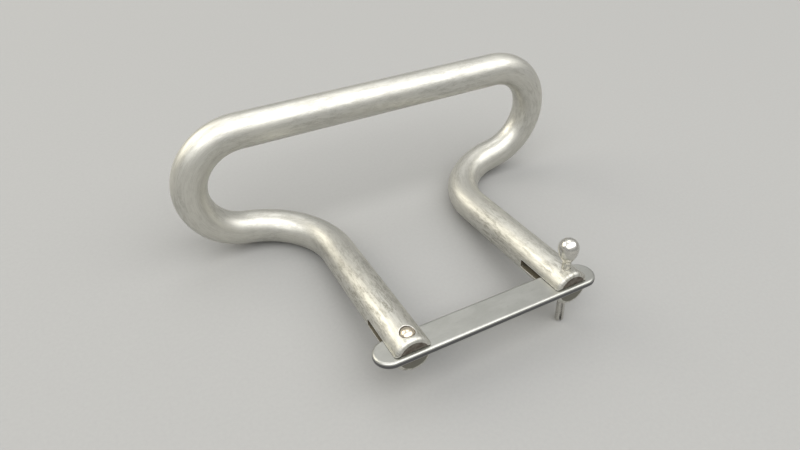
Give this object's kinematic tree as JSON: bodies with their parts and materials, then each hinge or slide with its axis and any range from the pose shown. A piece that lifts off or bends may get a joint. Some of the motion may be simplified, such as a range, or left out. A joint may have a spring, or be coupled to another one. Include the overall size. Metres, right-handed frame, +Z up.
{
  "type": "detachable grab handle",
  "caption": "Closed hand grip bent from round metal bar, with slotted legs joined by a flat swinging lock bar that a knobbed spring pull pin holds shut.",
  "frame": {"origin": "under the middle of the outline, on the surface that the handle lies on", "axes": "+X along the grip towards the pull pin's side, +Y from the lock bar towards the grip, +Z up, with the handle lying as it rests on a flat surface: on both shoulder bends and on the end of the pull pin"},
  "size_m": [0.1602, 0.0974, 0.0559],
  "materials": {
    "rod_steel": "dull satin, handled, with grey mottled tarnish",
    "bar_steel": "fine satin with bright worn edges",
    "rivet_steel": "polished by wear",
    "pin_steel": "turned and polished"
  },
  "bodies": {
    "handle": {"handle_rod": "rod_steel", "pivot_rivet": "rivet_steel"},
    "lock_bar": {"lock_bar": "bar_steel"},
    "pull_pin": {"pull_pin": "pin_steel"}
  },
  "joints": [
    {"name": "lock_bar_swing", "type": "hinge", "parent": "handle", "child": "lock_bar", "pos_m": [-0.03, -0.04319, 0.01677], "axis": [0, 0.1564, 0.9877], "range_deg": [-225, 0]},
    {"name": "pull_pin_slide", "type": "slide", "parent": "handle", "child": "pull_pin", "axis": [0, 0.1564, 0.9877], "range_m": [0, 0.024]}
  ]
}
